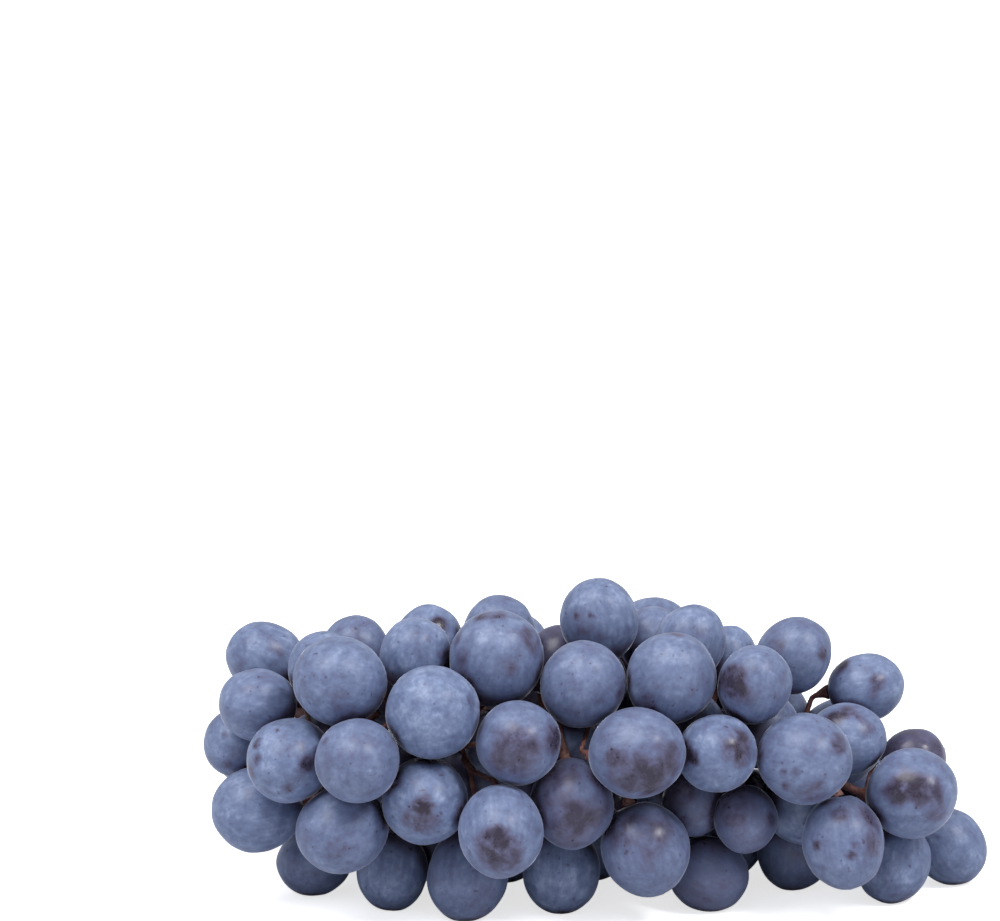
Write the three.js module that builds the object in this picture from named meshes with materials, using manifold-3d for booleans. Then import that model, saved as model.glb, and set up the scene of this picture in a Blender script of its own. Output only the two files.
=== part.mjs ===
// A bunch of black dessert grapes, picked and laid down on a flat surface.
// Millimetres, +Z up. +X runs along the bunch from its wide stem end to its tip, +Y points to its far side.
// The origin is under the middle of the bunch, on the surface that it lies on.
//
// The bunch is one branching stem and its berries. Each berry is an ellipsoid of its own size, hung by its
// stem end. The berries are put roughly in place, then they settle: they push each other apart until every
// two of them are clear by BERRY_GAP, while each one is pulled back towards its own place. The stem is grown
// last, from the cut end to every berry, around the settled berries.

import * as THREE from 'three';
import { mergeVertices } from 'three/addons/utils/BufferGeometryUtils.js';
import Module from 'manifold-3d';

const wasm = await Module();
wasm.setup();

// The whole bunch: the space that its berries are laid out in, before they push each other apart.
const BUNCH_LENGTH = 200;
const BUNCH_DEPTH = 92;
const BUNCH_HEIGHT = 82;

// A usual berry, along and across its own axis.
const BERRY_LENGTH = 24.2;
const BERRY_WIDTH = 21.6;
const BERRY_SIDES = 10;
const BERRY_BANDS = 6;
// How much a berry's length, width and aim stray, as shares, and how far its free end leans to the tip.
const LENGTH_STRAY = 0.03;
const WIDTH_STRAY = 0.015;
const AIM_STRAY = 0.1;
const TIPWARD_LEAN = 5;

// What is left free between two berries, and between a berry and the stem. Where a bend of the stem still
// comes too close to a berry, the stem is cut back to the last of these.
const BERRY_GAP = 0.3;
const STEM_GAP = 0.3;
const STEM_CUT_GAP = 0.18;
// How deep the lowest berries are pressed flat by the weight of the bunch.
const TABLE_PRESS = 0.7;

// The stem's widths: the cut end, the main stem where the bunch begins and at its tip, a side branch,
// a berry's own stalk, and the disc at the end of the stalk that carries the berry.
const CUT_END_WIDTH = 6;
const MAIN_STEM_WIDTH = 4.6;
const TIP_WIDTH = 2;
const BRANCH_WIDTH = 2.6;
const STALK_WIDTH = 1.6;
const DISC_WIDTH = 3.4;
// A branch and a stalk are wider where they begin, and a branch is narrower where it divides, as shares.
const BRANCH_START = 1.25;
const BRANCH_END = 0.9;
const STALK_START = 1.2;
// The flat sides around each kind of stem, and the steps along the main stem.
const MAIN_STEM_SIDES = 8;
const MAIN_STEM_STEPS = 26;
const BRANCH_SIDES = 6;
const STALK_SIDES = 5;
// The share of the main stem that is bare, from its cut end to where the first branch leaves it.
const SHOULDER = 0.2;

// How many side branches leave the main stem at one place, how far apart those places are, how far they
// turn around it from one place to the next, and how far back towards the cut end a branch starts from
// the berries that it carries.
const BRANCHES_AROUND = 3;
const BRANCH_SPACING = 21;
const BRANCH_TURN = 1.05;
const BRANCH_SLANT = 7;
// The part of the way from the main stem to its berries that a side branch takes, and the furthest place
// along the main stem, as a share of it, that a branch leaves from.
const BRANCH_REACH = 0.5;
const LAST_BRANCH = 0.97;

// The size of bunch that the places below are given for. They stretch with the three sizes above.
const PLAN_SIZE = new THREE.Vector3(200, 92, 82);
const STRETCH = new THREE.Vector3(BUNCH_LENGTH, BUNCH_DEPTH, BUNCH_HEIGHT).divide(PLAN_SIZE);

// The main stem, from its cut end to the tip of the bunch.
const MAIN_STEM_PLACES = [
  [-94, 52, 46],
  [-86, 34, 45],
  [-72, 13, 41],
  [-52, 3, 40],
  [-25, 1, 40],
  [5, 2, 39],
  [35, 2, 36],
  [60, 1, 29],
  [76, 0, 21],
  [84, 1, 15],
];

// Up is 0 for a berry that lies on the table.
const ON_TABLE = 0;

// The berries of the near side and the top: along, back from the middle, up, and size as a share of the
// usual berry. Some have an aim, the way that their free end points; the others point away from the stem.
// A berry that is joined has grown against the next one.
const NEAR_BERRIES = [
  // The wide end.
  { at: [-86, 12, 58], size: 0.88, aim: [-0.8, 0, 0.4] },
  { at: [-83, -9, 53], size: 0.86, aim: [-1, -0.5, 0.1] },
  { at: [-73, -7, 59], size: 0.85, joined: true },
  { at: [-64, -2, 61], size: 0.8 },
  { at: [-66, -27, 62], size: 1.03, aim: [-0.7, -0.7, 0.3] },
  { at: [-47, -14, 66], size: 0.86 },
  { at: [-43, 6, 64], size: 0.82 },
  { at: [-42, -33, 56], size: 1.09 },
  { at: [-79, -26, 43], size: 1 },
  { at: [-60, -36, 46], size: 0.98 },
  { at: [-90, -4, 38], size: 0.83 },
  { at: [-88, -10, 27], size: 1, aim: [-1, -0.3, -0.1] },
  { at: [-64, -33, 26], size: 1.04, aim: [-0.6, -0.8, -0.2] },
  { at: [-73, -2, ON_TABLE], size: 0.84, aim: [-0.6, -0.6, -0.3] },
  // The middle.
  { at: [-46, -39, 34], size: 1.01 },
  { at: [-53, -13, ON_TABLE], size: 0.86, aim: [0, -0.5, -1] },
  { at: [-34, -22, ON_TABLE], size: 0.97, aim: [-0.1, -0.5, -1] },
  { at: [-27, -18, 66], size: 1.09 },
  { at: [-25, 4, 65], size: 0.88 },
  { at: [-13, 5, 60], size: 0.78 },
  { at: [-1, 2, 71], size: 0.93, aim: [0, -0.1, 1] },
  { at: [-4, -24, 61], size: 1.01 },
  { at: [13, 14, 63], size: 0.76 },
  { at: [23, 0, 66], size: 0.82, aim: [0.2, 0, 1] },
  { at: [18, -22, 62], size: 1.04 },
  { at: [-21, -37, 49], size: 0.99 },
  { at: [8, -37, 46], size: 1.06, aim: [1, -0.4, 0.15] },
  { at: [-6, -34, 33], size: 0.98, aim: [0.2, -0.6, -0.8] },
  { at: [-26, -42, 29], size: 1.01, aim: [0, -0.8, -0.5] },
  { at: [-10, -15, ON_TABLE], size: 0.93 },
  { at: [11, -30, 20], size: 1.02, aim: [0.3, -0.3, -0.9] },
  // The narrow end.
  { at: [32, 11, 59], size: 0.72 },
  { at: [38, -12, 58], size: 0.86 },
  { at: [49, -1, 62], size: 0.88, aim: [0.5, -0.2, 0.9] },
  { at: [30, -30, 45], size: 0.93 },
  { at: [51, -27, 43], size: 1.06, aim: [0.7, -0.7, -0.1] },
  { at: [25, -13, 27], size: 0.75, joined: true },
  { at: [36, -19, 25], size: 0.76 },
  { at: [28, -12, ON_TABLE], size: 0.88, aim: [0.9, -0.4, -0.2] },
  { at: [48, 3, ON_TABLE], size: 0.88 },
  { at: [67, 4, 51], size: 0.8, aim: [1, -0.1, 0.15] },
  { at: [62, -8, 44], size: 0.86, aim: [0.9, -0.3, 0.2] },
  { at: [80, 4, 34], size: 0.74, aim: [0.9, 0.1, 0.3] },
  { at: [79, -17, 31], size: 1.06 },
  { at: [61, -23, 21], size: 0.98, aim: [0.1, -0.4, -1] },
  { at: [75, -7, ON_TABLE], size: 0.88 },
  { at: [89, 4, ON_TABLE], size: 0.86, aim: [0.5, 0.1, -0.8] },
];

// The berries of the far side, the underside and the inside lie in rows. Each row is a smooth line through
// its places, with its berries evenly spaced on it before they stray, in groups that have grown together.
const ROWS = [
  // The upper, the middle and the lower far side.
  { groups: [4, 5], size: 0.95, places: [[-72, 22, 56], [-20, 24, 56], [30, 23, 50], [62, 17, 39]] },
  { groups: [5, 5], size: 0.97, places: [[-86, 22, 35], [-30, 34, 37], [15, 34, 34], [68, 22, 22]] },
  { groups: [5, 4], size: 0.98, places: [[-70, 17, 13], [-30, 29, 12], [15, 29, 14], [72, 16, 13]] },
  // The underside.
  {
    groups: [3, 3],
    size: 0.95,
    places: [[-56, 4, ON_TABLE], [-25, 5, ON_TABLE], [5, 6, ON_TABLE], [34, 8, ON_TABLE]],
  },
  // The inside, above and below the main stem.
  {
    groups: [4, 5],
    size: 0.86,
    places: [[-80, 14, 27], [-64, -7, 37], [-30, -15, 44], [12, -13, 42], [40, -10, 38]],
  },
  { groups: [3, 3], size: 0.84, places: [[-42, 4, 27], [-15, 6, 26], [12, 6, 25], [50, 3, 23]] },
];
// How far a berry strays from its place in a row, how much its size strays, and how strongly it is pulled
// back to its place, as a share of the pull on the berries of the near side.
const ROW_STRAY = 7;
const ROW_SIZE_STRAY = 0.1;
const ROW_PULL = 0.3;
// How far the middle of a flat facet lies inside the true ellipsoid, as a share of the berry's half size, and
// how deep two joined berries are pressed into each other beyond their facets.
const FACET_DEPTH = 1 - Math.cos(Math.PI / BERRY_SIDES) * Math.cos(Math.PI / (2 * BERRY_BANDS));
const PAIR_PRESS = 0.3;

// How the berries settle: the rounds in which they are also pulled home, the share of the way home that
// they take in a round along, back and up, and the most rounds in which they only push each other.
const SETTLE_ROUNDS = 500;
const PULL_HOME = new THREE.Vector3(0.06, 0.015, 0.06);
const SPREAD_ROUNDS = 2000;
const SETTLED = 0.0005;

// How a branch or a stalk finds its way between the berries: how far apart its points are, how much more
// room than it needs it leaves, the rounds in which it bends, and how far a point goes in the first round
// towards the middle between its neighbours, as a share. In the last round it doesn't.
const ROUTE_STEP = 6;
const ROUTE_MARGIN = 0.4;
const ROUTE_ROUNDS = 80;
const ROUTE_SMOOTHING = 0.2;
// The last stretch of a stalk runs straight into its berry.
const STRAIGHT_END = 3;

// The steps in which the main stem is searched for its nearest place to a point, and how close two
// vertices of a solid are to be one.
const STEM_MARKS = 120;
const SAME_VERTEX = 0.0001;

const DOWN = new THREE.Vector3(0, 0, -1);

function planPoint([along, back, up]) {
  return new THREE.Vector3(along, back, up).multiply(STRETCH);
}

// A repeatable stray number from -1 to 1, different for each count.
function stray(count) {
  const wave = Math.sin(count * 12.9898) * 43758.5453;
  return 2 * (wave - Math.floor(wave)) - 1;
}

const mainStem = new THREE.CatmullRomCurve3(MAIN_STEM_PLACES.map(planPoint));

function mainStemWidth(t) {
  if (t < SHOULDER) {
    return THREE.MathUtils.lerp(CUT_END_WIDTH, MAIN_STEM_WIDTH, t / SHOULDER);
  }
  return THREE.MathUtils.lerp(MAIN_STEM_WIDTH, TIP_WIDTH, (t - SHOULDER) / (1 - SHOULDER));
}

// Places along the main stem, close enough together to find the nearest one to any point.
const stemMarks = Array.from({ length: STEM_MARKS + 1 }, (_, i) => ({
  t: i / STEM_MARKS,
  point: mainStem.getPointAt(i / STEM_MARKS),
}));

function nearestMark(point) {
  let best = stemMarks[0];
  for (const mark of stemMarks) {
    if (mark.point.distanceToSquared(point) < best.point.distanceToSquared(point)) {
      best = mark;
    }
  }
  return best;
}

// ---- The berries ----

function makeBerry({ at, size, aim, joined, pull = 1 }, count) {
  const home = planPoint(at);
  const onTable = at[2] === ON_TABLE;
  const berry = {
    onTable,
    halfLength: (size * BERRY_LENGTH * (1 + LENGTH_STRAY * stray(count + 0.3))) / 2,
    halfWidth: (size * BERRY_WIDTH * (1 + WIDTH_STRAY * stray(count + 0.6))) / 2,
    joined,
    pull,
    next: null,
  };
  const outward = home.clone().sub(nearestMark(home).point);
  outward.x += TIPWARD_LEAN;
  berry.axis = (aim ? new THREE.Vector3(...aim) : outward).normalize();
  berry.axis.x += AIM_STRAY * stray(count + 0.1);
  berry.axis.y += AIM_STRAY * stray(count + 0.2);
  berry.axis.z += AIM_STRAY * stray(count + 0.4);
  berry.axis.normalize();
  if (onTable) {
    home.z = reach(berry, DOWN) - TABLE_PRESS;
  }
  berry.home = home;
  berry.centre = home.clone();
  return berry;
}

// How far a berry reaches from its centre in a direction: the distance of the flat plane that touches it.
function reach(berry, direction) {
  const along = berry.axis.dot(direction);
  return Math.hypot(berry.halfLength * along, berry.halfWidth * Math.sqrt(Math.max(0, 1 - along * along)));
}

// The place where a berry's stalk meets it, or a place that far away along the stalk.
function stemEnd(berry, away = 0) {
  return berry.centre.clone().addScaledVector(berry.axis, -(berry.halfLength + STEM_GAP + away));
}

const berries = NEAR_BERRIES.map(makeBerry);

for (const row of ROWS) {
  const line = new THREE.CatmullRomCurve3(row.places.map((place) => new THREE.Vector3(...place)));
  const last = row.groups.reduce((sum, group) => sum + group) - 1;
  let i = 0;
  for (const group of row.groups) {
    for (let member = 1; member <= group; member += 1) {
      const count = berries.length;
      const at = line.getPointAt(i / last).toArray();
      at[0] += ROW_STRAY * stray(count + 0.7);
      at[1] += ROW_STRAY * stray(count + 0.8);
      at[2] += at[2] === ON_TABLE ? 0 : ROW_STRAY * stray(count + 0.9);
      const size = row.size + ROW_SIZE_STRAY * stray(count);
      berries.push(makeBerry({ at, size, joined: member < group, pull: ROW_PULL }, count));
      i += 1;
    }
  }
}

// A joined berry has grown against the next one.
berries.forEach((berry, i) => {
  if (berry.joined) {
    berry.next = berries[i + 1];
  }
});

// Moves two berries apart, or two joined ones together, and returns how far they were out of place.
function pushApart(one, other) {
  const between = other.centre.clone().sub(one.centre);
  const distance = between.length();
  const direction = between.divideScalar(distance);
  const joined = one.next === other;
  const press = PAIR_PRESS + FACET_DEPTH * (one.halfLength + other.halfLength);
  const free = joined ? -press : BERRY_GAP;
  const missing = reach(one, direction) + reach(other, direction) + free - distance;
  if (missing <= 0 && !joined) {
    return 0;
  }
  one.centre.addScaledVector(direction, -missing / 2);
  other.centre.addScaledVector(direction, missing / 2);
  return Math.abs(missing);
}

// Moves a berry off the straight end of another berry's stalk, half the way each.
function leaveRoomForStalk(berry, other) {
  const stalk = stemEnd(other, STRAIGHT_END / 2);
  const direction = berry.centre.clone().sub(stalk);
  const distance = direction.length();
  direction.divideScalar(distance);
  const missing = reach(berry, direction) + STALK_WIDTH / 2 + 2 * STEM_GAP - distance;
  if (missing > 0) {
    berry.centre.addScaledVector(direction, missing / 2);
    other.centre.addScaledVector(direction, -missing / 2);
  }
}

function keepOffMainStem(berry) {
  const mark = nearestMark(berry.centre);
  const direction = berry.centre.clone().sub(mark.point).normalize();
  const needed = reach(berry, direction) + mainStemWidth(mark.t) / 2 + 2 * STEM_GAP;
  const missing = needed - berry.centre.distanceTo(mark.point);
  if (missing > 0) {
    berry.centre.addScaledVector(direction, missing);
  }
}

function keepAboveTable(berry) {
  const lowest = reach(berry, DOWN) - TABLE_PRESS;
  berry.centre.z = berry.onTable ? lowest : Math.max(berry.centre.z, lowest + TABLE_PRESS + STEM_GAP);
}

function pushAll() {
  let worst = 0;
  for (let i = 0; i < berries.length; i += 1) {
    for (let j = i + 1; j < berries.length; j += 1) {
      worst = Math.max(worst, pushApart(berries[i], berries[j]));
      leaveRoomForStalk(berries[i], berries[j]);
      leaveRoomForStalk(berries[j], berries[i]);
    }
    keepOffMainStem(berries[i]);
    keepAboveTable(berries[i]);
  }
  return worst;
}

for (let round = 0; round < SETTLE_ROUNDS; round += 1) {
  for (const berry of berries) {
    const homeward = berry.home.clone().sub(berry.centre).multiply(PULL_HOME);
    berry.centre.addScaledVector(homeward, berry.pull);
  }
  pushAll();
}
let spreadRound = 0;
while (spreadRound < SPREAD_ROUNDS && pushAll() > SETTLED) {
  spreadRound += 1;
}

// An ellipsoid about the berry's axis, from its stem end to its free end. Extra makes it that much bigger.
function berryGeometry(berry, extra = 0) {
  const profile = [];
  for (let i = 0; i <= BERRY_BANDS; i += 1) {
    const angle = Math.PI * (i / BERRY_BANDS);
    const across = i === 0 || i === BERRY_BANDS ? 0 : (berry.halfWidth + extra) * Math.sin(angle);
    profile.push(new THREE.Vector2(across, -(berry.halfLength + extra) * Math.cos(angle)));
  }
  const geometry = new THREE.LatheGeometry(profile, BERRY_SIDES);
  geometry.applyQuaternion(new THREE.Quaternion().setFromUnitVectors(new THREE.Vector3(0, 1, 0), berry.axis));
  geometry.translate(berry.centre.x, berry.centre.y, berry.centre.z);
  return geometry;
}

// ---- Solids ----

function solidFrom(geometry) {
  const bare = geometry.clone();
  bare.deleteAttribute('normal');
  bare.deleteAttribute('uv');
  const merged = mergeVertices(bare, SAME_VERTEX);
  return new wasm.Manifold(new wasm.Mesh({
    numProp: 3,
    vertProperties: new Float32Array(merged.attributes.position.array),
    triVerts: new Uint32Array(merged.index.array),
  }));
}

function geometryFrom(solid) {
  const mesh = solid.getMesh();
  const geometry = new THREE.BufferGeometry();
  geometry.setAttribute('position', new THREE.BufferAttribute(new Float32Array(mesh.vertProperties), 3));
  geometry.setIndex(new THREE.BufferAttribute(new Uint32Array(mesh.triVerts), 1));
  geometry.computeVertexNormals();
  return geometry;
}

// Everything below the table, to press the lowest berries flat.
const belowTable = new THREE.BoxGeometry(4 * BUNCH_LENGTH, 4 * BUNCH_LENGTH, 2 * BERRY_LENGTH);
belowTable.translate(0, 0, -BERRY_LENGTH);
const belowTableSolid = solidFrom(belowTable);

function berrySolid(berry) {
  const solid = solidFrom(berryGeometry(berry));
  return berry.onTable ? solid.subtract(belowTableSolid) : solid;
}

// ---- The stem ----

// A closed tube along a curve, with a width that changes from its start (0) to its end (1).
function taperedTube(curve, sides, steps, widthAt) {
  const geometry = new THREE.CylinderGeometry(1, 1, 1, sides, steps);
  const frames = curve.computeFrenetFrames(steps, false);
  const position = geometry.attributes.position;
  for (let i = 0; i < position.count; i += 1) {
    const step = Math.round((position.getY(i) + 0.5) * steps);
    const t = step / steps;
    const point = curve.getPointAt(t);
    const halfWidth = widthAt(t) / 2;
    point.addScaledVector(frames.normals[step], position.getX(i) * halfWidth);
    point.addScaledVector(frames.binormals[step], -position.getZ(i) * halfWidth);
    position.setXYZ(i, point.x, point.y, point.z);
  }
  return geometry;
}

// Moves a point out of every berry, to where a round stem of this width is clear of them.
function pushOutOfBerries(point, width) {
  const clearance = width / 2 + STEM_GAP + ROUTE_MARGIN;
  for (const berry of berries) {
    const direction = point.clone().sub(berry.centre).normalize();
    const along = berry.axis.dot(direction) / (berry.halfLength + clearance);
    const across = direction.clone().cross(berry.axis).length() / (berry.halfWidth + clearance);
    const surface = 1 / Math.hypot(along, across);
    if (point.distanceTo(berry.centre) < surface) {
      point.copy(berry.centre).addScaledVector(direction, surface);
    }
  }
}

// A route between two points that bends around every berry. Its first point stays where it is.
function routeAround(from, to, width) {
  const count = Math.max(2, Math.ceil(from.distanceTo(to) / ROUTE_STEP));
  const points = Array.from({ length: count + 1 }, (_, i) => from.clone().lerp(to, i / count));
  for (let round = 0; round < ROUTE_ROUNDS; round += 1) {
    for (let i = 1; i <= count; i += 1) {
      if (i < count) {
        const middle = points[i - 1].clone().add(points[i + 1]).multiplyScalar(0.5);
        points[i].lerp(middle, ROUTE_SMOOTHING * (1 - round / ROUTE_ROUNDS));
      }
      pushOutOfBerries(points[i], width);
    }
  }
  return points;
}

// The berries that one side branch carries are those nearest to its start and on its side of the main stem.
const stemLength = mainStem.getLength();
const branches = new Map();
for (const berry of berries) {
  const end = stemEnd(berry);
  const mark = nearestMark(end);
  const distance = Math.max(mark.t * stemLength - BRANCH_SLANT, SHOULDER * stemLength);
  const place = Math.round(distance / BRANCH_SPACING);
  const turn = Math.atan2(end.z - mark.point.z, end.y - mark.point.y) + place * BRANCH_TURN;
  const side = Math.floor((turn / (2 * Math.PI) + 1) * BRANCHES_AROUND) % BRANCHES_AROUND;
  const key = `${place} ${side}`;
  if (!branches.has(key)) {
    branches.set(key, { start: Math.min((place * BRANCH_SPACING) / stemLength, LAST_BRANCH), berries: [] });
  }
  branches.get(key).berries.push(berry);
}

const stemPieces = [solidFrom(taperedTube(mainStem, MAIN_STEM_SIDES, MAIN_STEM_STEPS, mainStemWidth))];
for (const plan of branches.values()) {
  const start = mainStem.getPointAt(plan.start);
  const middle = new THREE.Vector3();
  for (const berry of plan.berries) {
    middle.add(stemEnd(berry, STRAIGHT_END));
  }
  middle.divideScalar(plan.berries.length);
  const end = start.clone().lerp(middle, BRANCH_REACH);
  const route = routeAround(start, end, BRANCH_WIDTH);
  const branch = new THREE.CatmullRomCurve3(route);
  const branchWidth = (t) => BRANCH_WIDTH * THREE.MathUtils.lerp(BRANCH_START, BRANCH_END, t);
  stemPieces.push(solidFrom(taperedTube(branch, BRANCH_SIDES, route.length - 1, branchWidth)));
  for (const berry of plan.berries) {
    const points = routeAround(route[route.length - 1], stemEnd(berry, STRAIGHT_END), STALK_WIDTH);
    const stalk = new THREE.CatmullRomCurve3([...points, stemEnd(berry)]);
    const stalkWidth = (t) => (t === 1 ? DISC_WIDTH : STALK_WIDTH * THREE.MathUtils.lerp(STALK_START, 1, t));
    stemPieces.push(solidFrom(taperedTube(stalk, STALK_SIDES, points.length, stalkWidth)));
  }
}
let stemSolid = wasm.Manifold.union(stemPieces);
for (const berry of berries) {
  stemSolid = stemSolid.subtract(solidFrom(berryGeometry(berry, STEM_CUT_GAP)));
}
// Grown wood has no hollow: a pocket that crossing branches close in counts as a body of less than no volume.
stemSolid = wasm.Manifold.union(stemSolid.decompose().filter((body) => body.volume() > 0));

// ---- The bunch ----

const berryFinish = { color: 0x5f6e9c, roughness: 0.55, metalness: 0 };
const stemFinish = { color: 0xa87a70, roughness: 0.8, metalness: 0 };

const bunch = new THREE.Group();

function addPiece(name, solid, finish) {
  const mesh = new THREE.Mesh(geometryFrom(solid), new THREE.MeshStandardMaterial(finish));
  mesh.name = name;
  bunch.add(mesh);
}

addPiece('stem', stemSolid, stemFinish);
let singles = 0;
let groups = 0;
let solid = null;
for (const berry of berries) {
  const first = solid === null;
  solid = first ? berrySolid(berry) : solid.add(berrySolid(berry));
  if (berry.joined) {
    continue;
  }
  if (first) {
    singles += 1;
    addPiece(`berry_${String(singles).padStart(2, '0')}`, solid, berryFinish);
  } else {
    groups += 1;
    addPiece(`berry_group_${String(groups).padStart(2, '0')}`, solid, berryFinish);
  }
  solid = null;
}

// The origin goes under the middle of the bunch.
const box = new THREE.Box3().setFromObject(bunch);
const middle = box.getCenter(new THREE.Vector3());
bunch.position.set(-middle.x, -middle.y, -box.min.z);

export default bunch;
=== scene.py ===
# %% [markdown]
# # A bunch of dark table grapes
#
# This lesson dresses a bunch of grapes that was designed elsewhere. The design gives the place and the size
# of every grape and the run of the stem, in metres, as plain faceted solids. Here each grape gets its real
# form and its waxy skin, and the stem gets its warty discs, its cut end and its bark.
#
# The solids are loaded first. They never move: everything made below is put where they say.

# %% Load the bunch
import math
from functools import partial

import bmesh
import bpy
import numpy as np
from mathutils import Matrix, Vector


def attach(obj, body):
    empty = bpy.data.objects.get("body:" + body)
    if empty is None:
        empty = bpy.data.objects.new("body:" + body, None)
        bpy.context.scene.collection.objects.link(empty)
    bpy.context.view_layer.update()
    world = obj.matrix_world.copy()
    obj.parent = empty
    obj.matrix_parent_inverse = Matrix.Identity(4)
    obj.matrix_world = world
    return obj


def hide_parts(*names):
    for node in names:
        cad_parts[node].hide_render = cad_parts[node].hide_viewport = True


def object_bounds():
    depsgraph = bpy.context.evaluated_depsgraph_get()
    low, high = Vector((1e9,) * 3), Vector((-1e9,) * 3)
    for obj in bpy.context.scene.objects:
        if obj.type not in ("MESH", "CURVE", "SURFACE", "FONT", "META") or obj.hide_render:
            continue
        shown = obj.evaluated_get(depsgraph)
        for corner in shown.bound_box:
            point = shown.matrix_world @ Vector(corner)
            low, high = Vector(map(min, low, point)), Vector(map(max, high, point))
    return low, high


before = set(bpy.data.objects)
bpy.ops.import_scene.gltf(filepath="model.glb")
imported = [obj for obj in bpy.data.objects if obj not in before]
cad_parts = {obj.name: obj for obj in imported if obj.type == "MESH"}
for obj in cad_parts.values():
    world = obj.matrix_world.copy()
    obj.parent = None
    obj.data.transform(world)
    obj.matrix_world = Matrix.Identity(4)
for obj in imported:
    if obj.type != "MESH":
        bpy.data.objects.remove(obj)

cad_low, cad_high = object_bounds()
MM = 0.001
print(f"{len(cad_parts)} solids, {[round(size / MM, 1) for size in cad_high - cad_low]} mm")

# %% [markdown]
# ## Two small helpers
#
# Colours are easiest to read as the hex codes of a paint programme, which are sRGB. Blender's shaders count
# in linear light, so one function turns one into the other. A second function adds a node with its settings
# and its links in one call. The trees that make geometry and the materials are all built with it.

# %% Helpers for colours and nodes
def linear(hex_code):
    """An sRGB colour such as '#8f9dc6' as linear red, green, blue and alpha."""
    shares = [int(hex_code[i : i + 2], 16) / 255 for i in (1, 3, 5)]
    return [s / 12.92 if s <= 0.04045 else ((s + 0.055) / 1.055) ** 2.4 for s in shares] + [1.0]


def add_node(tree, kind, inputs=None, **settings):
    """Adds a node. An input takes a value, a socket, or a node, whose first output then feeds it."""
    node = tree.nodes.new(kind)
    for name, value in settings.items():
        setattr(node, name, value)
    for name, value in (inputs or {}).items():
        if isinstance(value, bpy.types.Node):
            value = value.outputs[0]
        if isinstance(value, bpy.types.NodeSocket):
            tree.links.new(value, node.inputs[name])
        else:
            node.inputs[name].default_value = value
    return node


print("bloom blue is", [round(v, 3) for v in linear("#8f9dc6")])

# %% [markdown]
# ## Reading the grapes from the design
#
# A grape is an oval: an ellipsoid that is longer along the line of its stalk. The design's facets have their
# corners exactly on that oval, so the oval can be worked back from the corners alone. Any ellipsoid is the
# set of points where a quadratic expression equals one. Nine numbers make the expression, and a least-squares
# fit finds them. The directions in which the ellipsoid is longest and shortest are then the eigenvectors of
# its matrix.
#
# Some grapes have grown against each other and share a solid. There the fit starts from a small patch of
# neighbouring corners, keeps the oval that the most corners lie on, takes those away and starts again.

# %% Fit ovals to the corners of a solid
SAME_PLACE = 0.001 * MM
ON_OVAL = 0.02 * MM
ON_TABLE = 0.01 * MM
FEWEST_CORNERS = 16
LONGEST_SHAPE = 2
# The fit counts in units of about half a grape, so that its nine numbers are all of a similar size.
FIT_UNIT = 10 * MM
FIT_NUMBERS = 9
NO_OVAL = 1e-9


def fit_oval(points):
    """The oval through some points: centre, long axis, half length and half width. None if there is none."""
    middle = points.mean(axis=0)
    x, y, z = ((points - middle) / FIT_UNIT).T
    terms = np.stack([x * x, y * y, z * z, 2 * x * y, 2 * x * z, 2 * y * z, 2 * x, 2 * y, 2 * z], axis=1)
    xx, yy, zz, xy, xz, yz, *slope = np.linalg.lstsq(terms, np.ones(len(points)), rcond=None)[0]
    matrix = np.array([[xx, xy, xz], [xy, yy, yz], [xz, yz, zz]])
    if abs(np.linalg.det(matrix)) < NO_OVAL:
        return None
    centre = -np.linalg.solve(matrix, slope)
    values, axes = np.linalg.eigh(matrix / (1 + centre @ matrix @ centre))
    if values.min() <= 0:
        return None
    halves = FIT_UNIT / np.sqrt(values)
    return {
        "centre": middle + centre * FIT_UNIT,
        "axis": axes[:, 0],
        "half_length": halves[0],
        "half_width": (halves[1] + halves[2]) / 2,
    }


def depth_outside(oval, points):
    """How far each point lies outside the oval, roughly: less than zero is inside."""
    offset = points - oval["centre"]
    along = offset @ oval["axis"]
    across = np.sqrt(np.maximum((offset**2).sum(axis=1) - along**2, 0))
    return (np.hypot(along / oval["half_length"], across / oval["half_width"]) - 1) * oval["half_width"]


def corners_of(node):
    """A solid's corners, each once, and each one's neighbours."""
    merged = bmesh.new()
    merged.from_mesh(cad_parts[node].data)
    bmesh.ops.remove_doubles(merged, verts=merged.verts, dist=SAME_PLACE)
    merged.verts.index_update()
    points = np.array([corner.co for corner in merged.verts])
    neighbours = [{edge.other_vert(corner).index for edge in corner.link_edges} for corner in merged.verts]
    merged.free()
    return points, neighbours


def ovals_in(node):
    """Every oval in a solid."""
    points, neighbours = corners_of(node)
    left = {i for i in range(len(points)) if points[i][2] > ON_TABLE}
    ovals = []
    while len(left) >= FEWEST_CORNERS:
        best_corners = []
        for start in sorted(left):
            patch = {start} | neighbours[start]
            patch |= {i for near in neighbours[start] for i in neighbours[near]}
            patch = sorted(patch & left)
            oval = fit_oval(points[patch]) if len(patch) > FIT_NUMBERS else None
            if oval is None or oval["half_length"] > LONGEST_SHAPE * oval["half_width"]:
                continue
            keys = sorted(left)
            close = np.abs(depth_outside(oval, points[keys])) < ON_OVAL
            if close.sum() > len(best_corners):
                best_corners = [key for key, near in zip(keys, close) if near]
        if len(best_corners) < FEWEST_CORNERS:
            break
        ovals.append(fit_oval(points[best_corners]))
        left -= set(best_corners)
    return sorted(ovals, key=lambda oval: oval["centre"][0])


stem_points, _ = corners_of("stem")
print("the stem has", len(stem_points), "corners, which are on no oval")

# %% [markdown]
# ## Which end of a grape is the stalk's
#
# A real grape hangs on its stalk at one end of its long axis and has a small scar at the other, so the two
# ends must not be mixed up. The fit gives the axis but not its sense. The stem does: the end of the oval that
# lies nearest to a corner of the stem is the stalk's. A grape that is far from every stalk would be a mistake
# in the design, and the script stops there.

# %% Find every grape and turn it to its stalk
STALK_GAP = 1 * MM

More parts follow.
